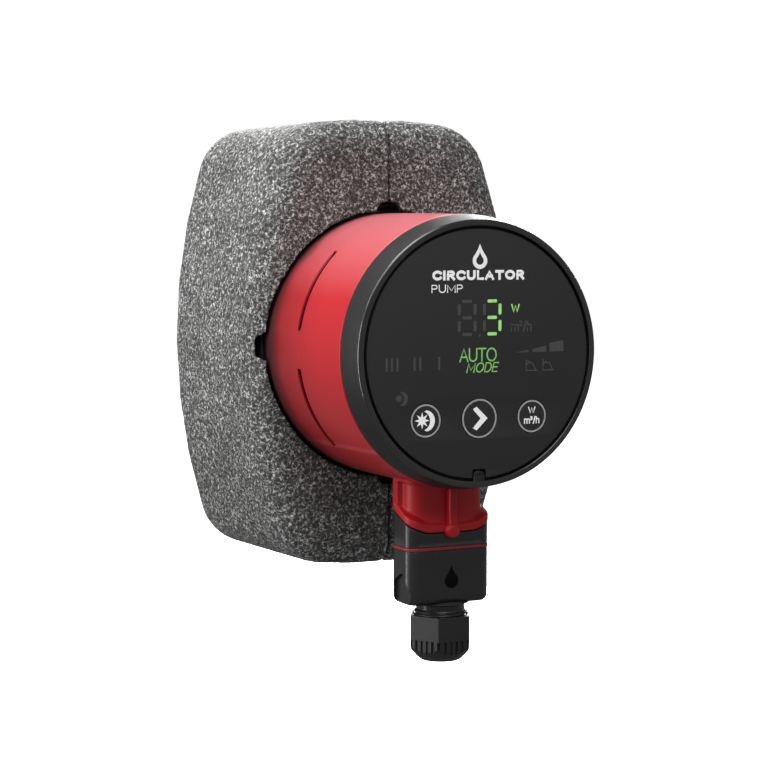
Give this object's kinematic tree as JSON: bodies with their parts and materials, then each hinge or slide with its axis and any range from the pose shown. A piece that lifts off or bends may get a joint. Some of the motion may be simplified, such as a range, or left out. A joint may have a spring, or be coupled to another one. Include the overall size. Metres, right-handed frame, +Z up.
{
  "type": "circulator pump",
  "caption": "Wet-rotor heating circulator with a round control head, vertical threaded pipe ports, a plug with cable gland, and two foam insulation shells.",
  "frame": {"origin": "where the vertical pipe axis meets the shaft axis, midway between the two port faces", "axes": "+Z up along the pipe axis towards the outlet, -Y out of the control face along the shaft axis, +X to the right of someone who faces the control face"},
  "size_m": [0.1192, 0.142, 0.1947],
  "materials": {
    "cast_iron": "matte",
    "red_drum": "satin",
    "black_plastic": "satin",
    "inner_plastic": "matte",
    "face": "satin",
    "insulation_foam": "matte",
    "rubber": "matte",
    "red_seal": "satin",
    "stainless": "satin",
    "zinc_steel": "satin",
    "laminations": "matte",
    "copper": "satin",
    "brass": "satin",
    "magnet": "matte",
    "ceramic_shaft": "satin",
    "carbon": "satin",
    "composite": "satin",
    "board": "satin",
    "capacitor_sleeve": "gloss",
    "diffuser": "satin"
  },
  "bodies": {
    "pump": {"pump_housing": "cast_iron", "motor_housing": "red_drum", "control_ring": "black_plastic", "control_tray": "inner_plastic", "digit_display": "inner_plastic", "switch_left": "inner_plastic", "switch_centre": "inner_plastic", "switch_right": "inner_plastic", "socket_insert": "inner_plastic", "face_plate": "face", "housing_gasket": "rubber", "can_seal": "rubber", "neck_ring": "stainless", "bearing_plate": "stainless", "rotor_can": "stainless", "motor_screw_1": "zinc_steel", "motor_screw_2": "zinc_steel", "motor_screw_3": "zinc_steel", "motor_screw_4": "zinc_steel", "stator_core": "laminations", "stator_winding": "copper", "mains_choke": "copper", "contact_pin_1": "brass", "contact_pin_2": "brass", "contact_pin_3": "brass", "front_bearing": "carbon", "rear_bearing": "carbon", "circuit_board": "board", "capacitor_1": "capacitor_sleeve", "capacitor_2": "capacitor_sleeve", "light_guide": "diffuser"},
    "rotor": {"rotor_shaft": "ceramic_shaft", "rotor_magnet": "magnet", "rotor_sleeve": "stainless", "thrust_ring": "carbon", "impeller": "composite", "impeller_cover": "composite"},
    "button_left": {"button_left": "face"},
    "button_centre": {"button_centre": "face"},
    "button_right": {"button_right": "face"},
    "plug": {"plug_cover": "black_plastic", "plug_seal": "red_seal", "plug_body": "black_plastic", "plug_insert": "inner_plastic", "wire_clamp_1": "brass", "wire_clamp_2": "brass", "wire_clamp_3": "brass", "gland_seal": "rubber"},
    "gland_slide": {"gland_ring": "inner_plastic"},
    "gland_nut": {"gland_nut": "black_plastic"},
    "shell_left": {"insulation_left": "insulation_foam"},
    "shell_right": {"insulation_right": "insulation_foam"}
  },
  "joints": [
    {"name": "rotor_spin", "type": "hinge", "parent": "pump", "child": "rotor", "pos_m": [0, -0.05, 0], "axis": [0, 1, 0], "continuous": true},
    {"name": "button_left_press", "type": "slide", "parent": "pump", "child": "button_left", "axis": [0, 1, 0], "range_m": [0, 0.0008], "stiffness_N_per_m": 2500},
    {"name": "button_centre_press", "type": "slide", "parent": "pump", "child": "button_centre", "axis": [0, 1, 0], "range_m": [0, 0.0008], "stiffness_N_per_m": 2500},
    {"name": "button_right_press", "type": "slide", "parent": "pump", "child": "button_right", "axis": [0, 1, 0], "range_m": [0, 0.0008], "stiffness_N_per_m": 2500},
    {"name": "plug_pull", "type": "slide", "parent": "pump", "child": "plug", "axis": [0, 0, -1], "range_m": [0, 0.025]},
    {"name": "gland_travel", "type": "slide", "parent": "plug", "child": "gland_slide", "axis": [0, 0, 1], "range_m": [-0.00302, 0.00152]},
    {"name": "gland_nut_turn", "type": "hinge", "parent": "gland_slide", "child": "gland_nut", "pos_m": [0, -0.075, -0.103], "axis": [0, 0, 1], "range_deg": [-720, 360]},
    {"name": "shell_left_off", "type": "slide", "parent": "pump", "child": "shell_left", "axis": [-1, 0, 0], "range_m": [0, 0.075]},
    {"name": "shell_right_off", "type": "slide", "parent": "pump", "child": "shell_right", "axis": [1, 0, 0], "range_m": [0, 0.075]}
  ],
  "couplings": [
    {"joint": "gland_travel", "follows": "gland_nut_turn", "m_per_rad": 0.00023873}
  ]
}
